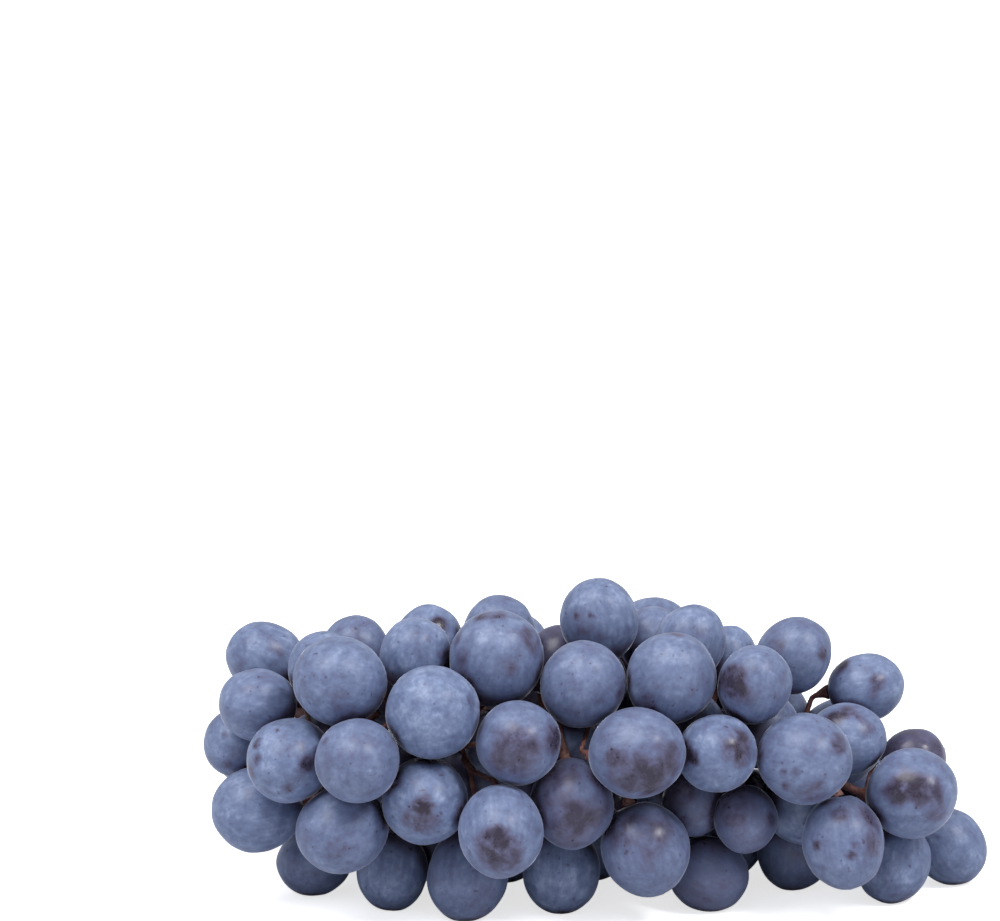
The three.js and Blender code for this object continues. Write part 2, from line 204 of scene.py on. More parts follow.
grapes = []
for node in sorted(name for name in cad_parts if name.startswith("berry")):
    for oval in ovals_in(node):
        ends = [oval["centre"] + sign * oval["half_length"] * oval["axis"] for sign in (1, -1)]
        stem_gaps = [np.sqrt(((stem_points - end) ** 2).sum(axis=1)).min() for end in ends]
        # The axis is made to point from the stalk to the free end.
        if stem_gaps[0] < stem_gaps[1]:
            oval["axis"] = -oval["axis"]
        oval["node"] = node
        oval["seed"] = len(grapes)
        grapes.append(oval)
        assert min(stem_gaps) < STALK_GAP, f"{node} hangs on nothing"

widths = [2 * grape["half_width"] / MM for grape in grapes]
print(f"{len(grapes)} grapes, {min(widths):.1f} to {max(widths):.1f} mm wide")

# %% [markdown]
# ## Rubbed patches
#
# The pale blue of a dark grape is not its skin. It is bloom: a coat of tiny wax plates that scatters light.
# Bloom is soft. Wherever a grape is touched, by a neighbour, a stalk, the table or a finger, the plates are
# pressed flat and the dark skin shows through, more glossy and more purple.
#
# The largest patches come from picking and packing. They follow no rule, so they could be painted or listed.
# A list was chosen, because it can be read and changed: for each grape, how far to the right and how far up a
# patch lies as a share of the radius, seen from the front of the bunch, then its width and how much bloom is
# gone.

# %% List the rubbed patches
VIEW_HEIGHT = math.radians(15)
RIGHT = np.array([1.0, 0.0, 0.0])
UP = np.array([0.0, math.sin(VIEW_HEIGHT), math.cos(VIEW_HEIGHT)])
FRONT = np.array([0.0, -math.cos(VIEW_HEIGHT), math.sin(VIEW_HEIGHT)])

# Right, up, width in mm, share of the bloom that is gone.
RUBBED = {
    "berry_01": [(0.2, 0.1, 6, 0.3), (-0.5, -0.3, 5, 0.3)],
    "berry_03": [(-0.87, 0.17, 1.6, 0.9), (0.1, -0.55, 7, 0.2)],
    "berry_04": [(0.75, 0.1, 4, 0.5)],
    "berry_05": [(0.3, 0.5, 4.5, 0.8)],
    "berry_06": [(-0.17, 0.95, 1.8, 0.9), (0.8, 0.2, 4, 0.5)],
    "berry_07": [
        (-0.7, 0.38, 3, 0.9), (-0.66, 0, 3.2, 0.85), (-0.8, -0.25, 4, 0.5), (-0.25, 0.7, 1.4, 0.9),
        (0.43, -0.07, 3.6, 0.9), (0.75, -0.2, 3, 0.8), (0, -0.6, 3.4, 0.6),
    ],
    "berry_08": [(-0.72, 0.45, 2.2, 0.7), (-0.75, -0.2, 4, 0.3)],
    "berry_09": [(-0.4, 0.2, 1.6, 0.8), (-0.3, -0.6, 3, 0.5)],
    "berry_11": [(-0.1, -0.42, 5.5, 0.4), (0.35, 0.5, 4, 0.3)],
    "berry_13": [(0.0, -0.05, 4.5, 0.9), (0.0, -0.35, 8, 0.55), (-0.3, -0.45, 6, 0.35)],
    "berry_16": [
        (-0.8, 0.4, 3, 0.9), (-0.3, 0.85, 4.5, 0.75), (0.05, 0.86, 4.5, 0.7), (0.7, 0.4, 6.5, 0.55),
        (-0.75, -0.1, 5, 0.35),
    ],
    "berry_18": [(0, 0, 22, 0.5)],
    "berry_19": [(-0.6, 0.1, 1.6, 0.6), (-0.2, 0.1, 1.4, 0.6), (-0.3, -0.3, 9, 0.25)],
    "berry_20": [(-0.05, 0.92, 1.8, 0.85), (0.85, -0.1, 5, 0.45)],
    "berry_23": [(0.1, 0.92, 4, 0.7), (-0.5, -0.55, 6, 0.45)],
    "berry_24": [
        (0.02, -0.2, 12, 0.5), (0.1, -0.15, 6, 0.25), (0.82, 0.1, 7, 0.75), (-0.3, -0.5, 6, 0.3),
    ],
    "berry_25": [
        (-0.1, -0.5, 12, 0.55), (0.45, -0.45, 13, 0.55), (-0.55, -0.05, 4, 0.8), (0.1, -0.75, 9, 0.45),
        (0.75, 0.05, 5, 0.5),
    ],
    "berry_26": [
        (0.2, -0.28, 7, 0.8), (0.1, -0.6, 11, 0.5), (-0.15, 0.75, 6, 0.6), (0.75, 0, 6, 0.5),
        (-0.4, 0.3, 9, 0.35),
    ],
    "berry_27": [(-0.25, -0.3, 7, 0.7), (0.2, -0.32, 7.5, 0.7), (0, 0.02, 3, 0.7), (0, -0.62, 9, 0.5)],
    "berry_29": [(-0.5, 0.45, 9, 0.5), (0.3, 0.5, 8, 0.4), (0.2, 0.05, 6, 0.35)],
    # The first patch on berry_31 is partly rubbed skin and partly painted shade.
    "berry_31": [(-0.62, 0.12, 7.5, 0.95), (-0.4, -0.3, 6, 0.5)],
    "berry_32": [(0.75, 0, 3.4, 0.7), (-0.55, 0.2, 5, 0.35)],
    "berry_33": [(0.5, 0.16, 8.5, 0.7), (-0.6, -0.1, 3.6, 0.9)],
    "berry_34": [
        (-0.5, -0.3, 1.8, 0.7), (-0.2, -0.3, 2.2, 0.6), (-0.43, -0.6, 2.4, 0.7), (0.3, -0.5, 2, 0.5),
        (0.7, 0.3, 5, 0.6), (0.1, -0.75, 7, 0.4),
    ],
    "berry_36": [(0, 0.3, 8, 0.4)],
    "berry_37": [(0.33, 0.16, 4, 0.6), (-0.72, 0.6, 4.5, 0.9), (0.2, -0.2, 3, 0.35)],
    "berry_38": [(-0.3, 0.6, 5, 0.8), (0.1, 0.75, 6, 0.6), (-0.6, 0.4, 5, 0.55), (0.5, 0.3, 5, 0.45)],
    "berry_39": [(0, 0.1, 18, 0.6)],
    "berry_40": [
        (-0.4, 0.05, 6, 0.7), (-0.1, 0.12, 7, 0.75), (0.3, 0.08, 7, 0.7), (0.15, -0.25, 3, 0.6),
        (0.55, -0.3, 7, 0.4),
    ],
    "berry_41": [
        (-0.65, -0.06, 2.6, 0.8), (0.26, -0.06, 2, 0.75), (0.16, -0.3, 2.2, 0.8), (-0.1, 0.65, 4, 0.8),
        (0.65, 0.6, 7, 0.6), (0.75, 0, 6, 0.55),
    ],
    "berry_group_02": [(-0.4, 0.4, 9, 0.5), (0.75, 0, 3.5, 0.8)],
}

print(sum(len(patches) for patches in RUBBED.values()), "patches are rubbed by hand")

# %% [markdown]
# ## Marks of hands and of neighbours, and painted contact shade
#
# Each patch becomes a soft round mark on the skin, with a core and an edge that are shares of its width.
# Where a neighbour or the table nearly touches, the mark needs no list: it is worked out from the distance to
# it, and it fades where the gap is wider than a rubbing grape can bridge. This mark is partly bloom rubbed
# off by the touch and partly painted shade where the grapes meet each other and the table.

# %% Work out the touches and the rubs
# Within these gaps a neighbour or the table takes bloom away: a rub, and painted shade where the grapes meet.
TOUCH_SHADE_NEAR = 0.45 * MM
TOUCH_SHADE_FAR = 2.3 * MM
RUB_CORE = 0.3
RUB_EDGE = 0.8


def smooth_step(value, low, high):
    """Rises smoothly from 0 at the low value to 1 at the high one."""
    share = np.clip((value - low) / (high - low), 0, 1)
    return share * share * (3 - 2 * share)


def touch_and_contact_shade_marks(grape, points):
    """How much bloom each point has lost to the neighbours and the table, from 0 to 1; also painted shade
    there.
    """
    gap = points[:, 2].copy()
    for other in grapes:
        if other is grape:
            continue
        apart = np.linalg.norm(other["centre"] - grape["centre"])
        if apart < grape["half_length"] + other["half_length"] + TOUCH_SHADE_FAR:
            gap = np.minimum(gap, depth_outside(other, points))
    return 1 - smooth_step(gap, TOUCH_SHADE_NEAR, TOUCH_SHADE_FAR)


def rub_marks(grape, points):
    """How much bloom each point has lost to the listed patches, from 0 to 1."""
    left = np.ones(len(points))
    for right, up, width, gone in RUBBED.get(grape["node"], []):
        front = math.sqrt(max(0, 1 - right**2 - up**2))
        spot = grape["centre"] + grape["half_width"] * (right * RIGHT + up * UP + front * FRONT)
        away = np.sqrt(((points - spot) ** 2).sum(axis=1))
        left *= 1 - gone * (1 - smooth_step(away, RUB_CORE * width * MM, RUB_EDGE * width * MM))
    return 1 - left


print(f"a neighbour nearer than {TOUCH_SHADE_FAR / MM:.1f} mm leaves a mark")

# %% [markdown]
# ## Bare skin and painted shade deep in the bunch
#
# Deep in a bunch the grapes have rubbed each other bare while they grew, and little light gets in, so the
# gaps between the outer grapes look nearly black. Both are painted here: the deeper a spot lies, the less
# bloom it keeps and the darker it is, which is painted shade as well as bare skin. How deep a spot lies could
# be guessed from its distance to the middle of the bunch, but a bunch has no simple form. Counting is surer:
# from each of some spots on a grape, rays go out evenly, and the ones that meet another grape are blocked.
# The fewer get away, the deeper the spot lies.

# %% Count how much each spot sees
SPOTS_ON_A_GRAPE = 80
RAYS_ALL_ROUND = 80
GRAZING = 0.1
SPOT_BLEND = 30
HIDDEN = 0.03
OPEN = 0.27


def even_directions(count):
    """Directions that are spread evenly over a sphere, in a spiral from pole to pole."""
    turn = math.pi * (3 - math.sqrt(5)) * np.arange(count)
    height = 1 - (2 * np.arange(count) + 1) / count
    level = np.sqrt(1 - height**2)
    return np.stack([level * np.cos(turn), level * np.sin(turn), height], axis=1)


SPOTS = even_directions(SPOTS_ON_A_GRAPE)
RAYS = even_directions(RAYS_ALL_ROUND)


def openness(grape):
    """How much of the surroundings each spot on a grape sees past the other grapes, from 0 to 1."""
    others = [other for other in grapes if other is not grape]
    centres = np.array([other["centre"] for other in others])
    radii = np.array([other["half_width"] for other in others])
    seen = []
    for facing in SPOTS:
        rays = RAYS[RAYS @ facing > GRAZING]
        away = centres - (grape["centre"] + grape["half_width"] * facing)
        along = rays @ away.T
        aside = (away**2).sum(axis=1) - along**2
        blocked = ((along > 0) & (aside < radii**2)).any(axis=1)
        weights = rays @ facing
        seen.append(weights[~blocked].sum() / weights.sum())
    return np.array(seen)


def inner_bare_skin_and_shade_marks(grape, points):
    """How much bloom each point has lost for lying deep in the bunch, from 0 to 1; also painted shade there.
    """
    facing = points - grape["centre"]
    facing /= np.linalg.norm(facing, axis=1, keepdims=True)
    weights = np.exp(SPOT_BLEND * (facing @ SPOTS.T - 1))
    open_share = weights @ openness(grape) / weights.sum(axis=1)
    # Less bloom where a spot sees little darkens it: bare skin, and painted shade deep in the bunch.
    return 1 - smooth_step(open_share, HIDDEN, OPEN)


print(f"{grapes[0]['node']} sees {openness(grapes[0]).mean():.0%} of its surroundings")

# %% [markdown]
# ## The form of a grape
#
# All the grapes follow one rule, so one Geometry Nodes tree makes them. Its input is a mesh with nothing but
# a point for each grape, and each point carries the grape's axis, sizes and seed as attributes. The tree puts
# a sphere on every point, turned and stretched to the oval. Before that it stores the sphere's own place on
# each corner, so that later nodes know where a corner lies between the stalk and the free end.
#
# Then the ovals become grapes. The stalk end sinks into a small pit, where the disc of the stalk sits. The
# free end has a tiny raised scar, left by the flower. A slow noise makes each one slightly uneven. What would
# reach below the table is pressed flat on it.
#
# Each grape could be modelled by hand instead, but there are nearly a hundred, and a rule with a few named
# sizes keeps them alike in kind and different in detail.

# %% Geometry Nodes: the grape tree
GRAPE_SIZES = {
    "Sides": 56,
    "Bands": 40,
    "Pit Width": 0.36,
    "Pit Depth": 1.1 * MM,
    "Scar Width": 0.055,
    "Scar Height": 0.1 * MM,
    "Unevenness": 0.3 * MM,
    "Lumps": 1.1,
}
# How far apart two grapes lie in the fourth coordinate of the noise.
LUMP_STEP = 7.3


def new_tree(name, inputs):
    """An empty tree of geometry nodes with named inputs."""
    tree = bpy.data.node_groups.new(name, "GeometryNodeTree")
    tree.interface.new_socket("Geometry", in_out="INPUT", socket_type="NodeSocketGeometry")
    for label, value in inputs.items():
        kind = {int: "NodeSocketInt", float: "NodeSocketFloat"}.get(type(value), "NodeSocketMaterial")
        socket = tree.interface.new_socket(label, in_out="INPUT", socket_type=kind)
        if kind != "NodeSocketMaterial":
            socket.default_value = value
    tree.interface.new_socket("Geometry", in_out="OUTPUT", socket_type="NodeSocketGeometry")
    return tree, add_node(tree, "NodeGroupInput"), add_node(tree, "NodeGroupOutput")


def grape_tree():
    """The tree that turns points into grapes."""
    tree, given, result = new_tree("grape", {**GRAPE_SIZES, "Skin": None})
    add = partial(add_node, tree)
    sizes = given.outputs
    globe = {"Segments": sizes["Sides"], "Rings": sizes["Bands"], "Radius": 1.0}
    sphere = add("GeometryNodeMeshUVSphere", globe)
    place = add("GeometryNodeInputPosition")
    placed = add(
        "GeometryNodeStoreNamedAttribute", {"Geometry": sphere, "Name": "grape_place", "Value": place},
        data_type="FLOAT_VECTOR", domain="POINT",
    )
    axis = add("GeometryNodeInputNamedAttribute", {"Name": "axis"}, data_type="FLOAT_VECTOR")
    turn = add("FunctionNodeAlignRotationToVector", {"Vector": axis}, axis="Z")
    across = add("GeometryNodeInputNamedAttribute", {"Name": "half_width"}, data_type="FLOAT")
    along = add("GeometryNodeInputNamedAttribute", {"Name": "half_length"}, data_type="FLOAT")
    stretch = add("ShaderNodeCombineXYZ", {"X": across, "Y": across, "Z": along})
    ovals = add(
        "GeometryNodeInstanceOnPoints",
        {"Points": sizes["Geometry"], "Instance": placed, "Rotation": turn, "Scale": stretch},
    )
    real = add("GeometryNodeRealizeInstances", {"Geometry": ovals})

    # The pit at the stalk, where the sphere's own height is -1, and the scar at the free end, where it is 1.
    own = add("GeometryNodeInputNamedAttribute", {"Name": "grape_place"}, data_type="FLOAT_VECTOR")
    parts = add("ShaderNodeSeparateXYZ", {"Vector": own}).outputs
    level = add("ShaderNodeCombineXYZ", {"X": parts["X"], "Y": parts["Y"]})
    aside = add("ShaderNodeVectorMath", {0: level}, operation="LENGTH").outputs["Value"]
    at_stalk = add("ShaderNodeMath", {0: parts["Z"], 1: 0.0}, operation="LESS_THAN")
    pit = add(
        "ShaderNodeMapRange",
        {
            "Value": aside, "From Min": 0.0, "From Max": sizes["Pit Width"],
            "To Min": at_stalk, "To Max": 0.0,
        },
        interpolation_type="SMOOTHSTEP",
    )
    sunk = add("ShaderNodeMath", {0: pit, 1: sizes["Pit Depth"]}, operation="MULTIPLY")
    at_free_end = add("ShaderNodeMath", {0: parts["Z"], 1: 0.0}, operation="GREATER_THAN")
    scar = add(
        "ShaderNodeMapRange",
        {
            "Value": aside, "From Min": 0.0, "From Max": sizes["Scar Width"],
            "To Min": at_free_end, "To Max": 0.0,
        },
        interpolation_type="SMOOTHSTEP",
    )
    raised = add("ShaderNodeMath", {0: scar, 1: sizes["Scar Height"]}, operation="MULTIPLY")

    # Every grape gets its own stretch of the noise through the fourth coordinate.
    seed = add("GeometryNodeInputNamedAttribute", {"Name": "seed"}, data_type="FLOAT")
    stretch_of_noise = add("ShaderNodeMath", {0: seed, 1: LUMP_STEP}, operation="MULTIPLY")
    lumps = add(
        "ShaderNodeTexNoise", {"Vector": own, "W": stretch_of_noise, "Scale": sizes["Lumps"], "Detail": 1.0},
        noise_dimensions="4D",
    )
    lump = add("ShaderNodeMath", {0: lumps, 1: 4.0, 2: -2.0}, operation="MULTIPLY_ADD")
    grown = add("ShaderNodeMath", {0: lump, 1: sizes["Unevenness"], 2: raised}, operation="MULTIPLY_ADD")
    outward = add("ShaderNodeMath", {0: grown, 1: sunk}, operation="SUBTRACT")
    normal = add("GeometryNodeInputNormal")
    push = add("ShaderNodeVectorMath", {0: normal, "Scale": outward}, operation="SCALE")
    shaped = add("GeometryNodeSetPosition", {"Geometry": real, "Offset": push})

    # Nothing reaches below the table.
    where = add("GeometryNodeInputPosition")
    lifted = add("ShaderNodeVectorMath", {0: where, 1: (-1.0, -1.0, 0.0)}, operation="MAXIMUM")
    flat = add("GeometryNodeSetPosition", {"Geometry": shaped, "Position": lifted})
    smooth = add("GeometryNodeSetShadeSmooth", {"Geometry": flat})
    whole = add("GeometryNodeRealizeInstances", {"Geometry": smooth})
    skinned = add("GeometryNodeSetMaterial", {"Geometry": whole, "Material": sizes["Skin"]})
    tree.links.new(skinned.outputs[0], result.inputs[0])
    return tree


make_grapes = grape_tree()
print("the grape tree has", len(make_grapes.nodes), "nodes")

# %% [markdown]
# ## From a tree to a plain mesh
#
# A tree of geometry nodes works as a modifier on an object. The finished piece should be a plain mesh, which
# every other program can read. So the tree's inputs are set first, by the identifiers of their sockets, then
# Blender works out the result, and a new mesh is made from it. The helper object is thrown away.

# %% Helper that bakes a tree into a mesh
def with_tree(name, mesh, tree, values):
    """The mesh that a tree makes of another mesh, as a plain mesh of its own."""
    start = bpy.data.objects.new(name, mesh)
    bpy.context.collection.objects.link(start)
    modifier = start.modifiers.new(tree.name, "NODES")
    modifier.node_group = tree
    for item in tree.interface.items_tree:
        if item.in_out == "INPUT" and item.name in values:
            modifier[item.identifier] = values[item.name]
    start.update_tag()
    settled = start.evaluated_get(bpy.context.evaluated_depsgraph_get())
    made = bpy.data.meshes.new_from_object(settled)
    made.name = name
    start.modifiers.remove(modifier)
    bpy.data.objects.remove(start)
    return made


print("inputs of the grape tree:", ", ".join(GRAPE_SIZES))

# %% [markdown]
# ## How much bloom is left
#
# On the real grape the bloom is never even. It lies in clouds about 9 mm wide, is smeared in patches of about
# 4 mm, runs in streaks where rain ran down, has a fine mottle of just over 1 mm, and shows a few dark specks.
# A painted picture could hold all this, but it would have to be unwrapped on a hundred grapes. Noise needs no
# unwrapping, and the width of its lumps is a real size: the scale of the noise is one over that width.
#
# So one value is built up, how much bloom is left. It starts near two, and the noises take more than half of
# that away. Then the marks that were stored on the corners are multiplied in. Those of touching, of lying
# deep in the bunch and of the purple cast also darken the skin as painted shade.

# %% Nodes for the bloom that is left
FULL_BLOOM = 1.89
CLOUDS = 9 * MM
SMEARS = 4 * MM
MOTTLE = 1.3 * MM
SPECKS = 1.7 * MM
# Streaks are counted on a sphere of radius one: many round the grape, few along it.
STREAKS = (9.0, 9.0, 1.6)
# How much of the bloom each noise takes away where it is one.
THINNED = {"clouds": 0.55, "smears": 0.85, "streaks": 0.5, "mottle": 0.3}
# How much of the bloom each kind of mark takes away at its strongest. All but the rubs also paint shade.
TAKEN = {"touch_and_contact_shade": 0.8, "rub": 0.85, "inner_bare_skin_and_shade": 0.85, "purple_and_shade": 0.35}


def bloom_left(add):
    """The nodes whose last socket says how much bloom is left, from 0 to 1."""
    place = add("ShaderNodeTexCoord").outputs["Object"]
    own = add("ShaderNodeAttribute", attribute_name="grape_place").outputs["Vector"]
    seed = add("ShaderNodeAttribute", attribute_name="grape_seed").outputs["Fac"]
    clouds = add("ShaderNodeTexNoise", {"Vector": place, "Scale": 1 / CLOUDS, "Detail": 3.0})
    smears = add(
        "ShaderNodeTexNoise",
        {"Vector": place, "Scale": 1 / SMEARS, "Detail": 4.0, "Roughness": 0.6, "Distortion": 0.35},
    )
    mottle = add(
        "ShaderNodeTexNoise", {"Vector": place, "Scale": 1 / MOTTLE, "Detail": 3.0, "Roughness": 0.65}
    )
    specks = add("ShaderNodeTexNoise", {"Vector": place, "Scale": 1 / SPECKS, "Detail": 1.0})
    slim = add("ShaderNodeVectorMath", {0: own, 1: STREAKS}, operation="MULTIPLY")
    streaks = add(
        "ShaderNodeTexNoise", {"Vector": slim, "W": seed, "Scale": 1.0, "Detail": 3.0}, noise_dimensions="4D"
    )
    noises = {"clouds": clouds, "smears": smears, "streaks": streaks, "mottle": mottle}
    bloom = FULL_BLOOM
    for name, share in THINNED.items():
        bloom = add("ShaderNodeMath", {0: noises[name], 1: -share, 2: bloom}, operation="MULTIPLY_ADD")

    # The marks of touching, which also paint shade, and of rubbing have a ragged edge, because the smears
    # make them weaker or stronger.
    ragged = add("ShaderNodeMath", {0: smears, 1: 2.4, 2: -0.2}, operation="MULTIPLY_ADD")
    for name, share in TAKEN.items():
        mark = add("ShaderNodeAttribute", attribute_name=name).outputs["Fac"]
        if name in ("touch_and_contact_shade", "rub"):
            mark = add("ShaderNodeMath", {0: mark, 1: ragged}, operation="MULTIPLY", use_clamp=True)
        kept = add("ShaderNodeMath", {0: mark, 1: -share, 2: 1.0}, operation="MULTIPLY_ADD")
        bloom = add("ShaderNodeMath", {0: bloom, 1: kept}, operation="MULTIPLY")
    speck = add("ShaderNodeMapRange", {"Value": specks, "From Min": 0.7, "From Max": 0.78, "To Max": 0.3})
    return add("ShaderNodeMath", {0: bloom, 1: speck}, operation="SUBTRACT", use_clamp=True)


print("marks on the bloom:", ", ".join(TAKEN))

# %% [markdown]
# ## The skin under its bloom
#
# The real finish is grape skin with bloom. The skin is nearly black, with a red to purple cast. The wax on it
# is pale blue, because its plates are so small that they scatter blue light most. Where bloom lies thick the
# grape is matt and blue, where it is thin it is greyer, more purple and softly glossy. So the one value sets
# both the colour and the roughness. Skin and wax both have an IOR close to 1.45.
#
# A thin sheen lights up the rim of each grape, as a layer of fine dust does. The pores of the skin are too
# fine to see at this size, so they are drawn half a millimetre wide, only to break up the gloss a little.

# %% Material: bloom over grape skin
BLOOM_COLOURS = [
    (0.0, "#241b25"), (0.2, "#3f384a"), (0.42, "#605f7b"), (0.66, "#6c799b"), (0.85, "#808eb0"),
    (1.0, "#98a5c4"),
]
PURPLE_AND_SHADE_SKIN = "#5e5a75"
SCAR_BROWN = "#4c3d40"
PORES = 0.5 * MM
BARE_ROUGHNESS = 0.24
BLOOM_ROUGHNESS = 0.46


def new_material(name):
    """A material with an empty tree, and that tree."""
    material = bpy.data.materials.new(name)
    material.use_nodes = True
    material.node_tree.nodes.clear()
    return material, material.node_tree


def grape_skin():
    """Skin and bloom, coloured and roughened by how much bloom is left."""
    material, tree = new_material("bloom_on_dark_grape_skin")
    add = partial(add_node, tree)
    bloom = bloom_left(add)
    colour = add("ShaderNodeValToRGB", {"Fac": bloom})
    for position, _ in BLOOM_COLOURS[1:-1]:
        colour.color_ramp.elements.new(position)
    for element, (position, shade) in zip(colour.color_ramp.elements, BLOOM_COLOURS):
        element.position = position
        element.color = linear(shade)
    # The purple cast is partly the grape's own colour and partly painted shade.
    purple_and_shade = add("ShaderNodeAttribute", attribute_name="purple_and_shade").outputs["Fac"]
    less_blue = add("ShaderNodeMath", {0: purple_and_shade, 1: 0.45}, operation="MULTIPLY")
    cast = add(
        "ShaderNodeMix", {"Factor": less_blue, "A": colour, "B": linear(PURPLE_AND_SHADE_SKIN)}, data_type="RGBA"
    ).outputs["Result"]

    # The scar at the free end is a small brown dot.
    own = add("ShaderNodeAttribute", attribute_name="grape_place").outputs["Vector"]
    height = add("ShaderNodeSeparateXYZ", {"Vector": own}).outputs["Z"]
    scar = add("ShaderNodeMapRange", {"Value": height, "From Min": 0.9988, "From Max": 0.9996, "To Max": 0.7})
    marked = add(
        "ShaderNodeMix", {"Factor": scar, "A": cast, "B": linear(SCAR_BROWN)}, data_type="RGBA"
    ).outputs["Result"]
    roughness = add(
        "ShaderNodeMapRange", {"Value": bloom, "To Min": BARE_ROUGHNESS, "To Max": BLOOM_ROUGHNESS}
    )
    place = add("ShaderNodeTexCoord").outputs["Object"]
    pores = add("ShaderNodeTexNoise", {"Vector": place, "Scale": 1 / PORES, "Detail": 2.0})
    bump = add("ShaderNodeBump", {"Height": pores, "Strength": 0.15, "Distance": 0.15 * MM})
    skin = add(
        "ShaderNodeBsdfPrincipled",
        {
            "Base Color": marked,
            "Roughness": roughness,
            "IOR": 1.45,
            "Subsurface Weight": 0.06,
            "Subsurface Radius": (0.8, 0.45, 0.7),
            "Subsurface Scale": 1.2 * MM,
            "Sheen Weight": 1.0,
            "Sheen Roughness": 0.2,
            "Sheen Tint": linear("#e2e8fa"),
            "Normal": bump,
        },
    )
    add("ShaderNodeOutputMaterial", {"Surface": skin})
    return material


bloomed_skin = grape_skin()
print(bloomed_skin.name, "has", len(bloomed_skin.node_tree.nodes), "nodes")

# %% [markdown]
# ## Points that carry the sizes
#
# The grape tree starts from bare points. Each point of the mesh carries the sizes, the axis and the seed of
# its grape as attributes, and the tree reads them by name. After the tree has run, the marks go the other
# way: they are worked out for every corner of the grapes and stored on it, where the material finds them.

# %% Helpers for points and marks
# Some grapes are more purple than blue. The cast is partly their own colour and partly painted shade on low
# grapes that lie in the shade of others. The others stray a little.
PURPLE_AND_SHADED = {
    "berry_18": 0.8, "berry_21": 0.3, "berry_25": 0.35, "berry_26": 0.55, "berry_27": 0.2, "berry_29": 0.4,
    "berry_35": 0.7, "berry_36": 0.5, "berry_39": 1.0, "berry_40": 0.2, "berry_group_02": 0.6,
}
PURPLE_STRAY = 0.35
# How far apart the streaks of two grapes lie in the noise.
SEED_STEP = 3.1


def stray(seed):
    """A repeatable stray number from 0 to 1."""
    return math.sin(seed * 12.9898) * 43758.5453 % 1


def store(mesh, name, values):
    """Stores a number for each corner of a mesh."""
    numbers = np.asarray(values, dtype=np.float32)
    mesh.attributes.new(name, "FLOAT", "POINT").data.foreach_set("value", numbers)


def points_mesh(name, members):
    """A mesh with a bare point for each grape, which carries its sizes."""
    mesh = bpy.data.meshes.new(name)
    mesh.from_pydata([grape["centre"] for grape in members], [], [])
    for key in ("half_length", "half_width", "seed"):
        store(mesh, key, [float(grape[key]) for grape in members])
    axes = np.array([grape["axis"] for grape in members], dtype=np.float32).ravel()
    mesh.attributes.new("axis", "FLOAT_VECTOR", "POINT").data.foreach_set("vector", axes)
    return mesh


def corner_places(mesh):
    """The places of a mesh's corners, one row each."""
    places = np.empty(3 * len(mesh.vertices), dtype=np.float32)
    mesh.vertices.foreach_get("co", places)
    return places.reshape(-1, 3).astype(float)


def mark_grapes(mesh, members):
    """Stores the marks, some of them painted shade, and the colour cast of each grape on its corners."""
    places = corner_places(mesh)
    per_grape = len(places) // len(members)
    marks = {"touch_and_contact_shade": [], "rub": [], "inner_bare_skin_and_shade": [], "purple_and_shade": [], "grape_seed": []}
    for i, grape in enumerate(members):
        own = places[i * per_grape : (i + 1) * per_grape]
        cast = PURPLE_AND_SHADED.get(grape["node"], PURPLE_STRAY * stray(grape["seed"] + 0.5))
        # The touch, inner and purple marks are partly painted shade.
        marks["touch_and_contact_shade"].append(touch_and_contact_shade_marks(grape, own))
        marks["rub"].append(rub_marks(grape, own))
        marks["inner_bare_skin_and_shade"].append(inner_bare_skin_and_shade_marks(grape, own))
        marks["purple_and_shade"].append(np.full(per_grape, cast))
        marks["grape_seed"].append(np.full(per_grape, SEED_STEP * grape["seed"]))
    for name, values in marks.items():
        store(mesh, name, np.concatenate(values))


print(len(PURPLE_AND_SHADED), "pieces are more purple than the rest")

# %% [markdown]
# ## Making the grapes
#
# One piece is made for every solid, so a grape that stands alone is a piece, and grapes that have grown
# against each other are one piece together. Each piece starts as a mesh of bare points, goes through the
# tree, comes back as a plain mesh and gets its marks.

# %% Make a piece for every solid of grapes
triangles = 0
for node in sorted({grape["node"] for grape in grapes}):
    members = [grape for grape in grapes if grape["node"] == node]
    name = node.replace("berry", "grape")
    mesh = with_tree(name, points_mesh(name, members), make_grapes, {**GRAPE_SIZES, "Skin": bloomed_skin})
    mark_grapes(mesh, members)
    piece = bpy.data.objects.new(name, mesh)
    bpy.context.collection.objects.link(piece)
    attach(piece, "root")
    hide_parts(node)
    triangles += sum(len(face.vertices) - 2 for face in mesh.polygons)
print(f"{len(grapes)} grapes in {len({g['node'] for g in grapes})} pieces, {triangles} triangles")

# %% [markdown]
# ## The stem
#
# The stem is one grown piece: the main stem, its branches, and a stalk for each grape that ends in a small
# warty disc. The design has the right run but flat facets and sharp joints. A voxel remesh turns it, together
# with a disc for each grape, into one skin of small even squares, and smoothing it then rounds every
# joint, as growth does. The discs repeat, so a second small tree of geometry nodes makes them.

# %% Geometry Nodes: the discs of the stalks
DISC_SIZES = {
    "Wide End": 2.3 * MM,
    "Thin End": 0.9 * MM,
    "Height": 2.4 * MM,
    "Seat": 0.35 * MM,
    "Warts": 0.9 * MM,
}
DISC_SIDES = 12
DISC_BANDS = 4
WART_SPACING = 1.1 * MM


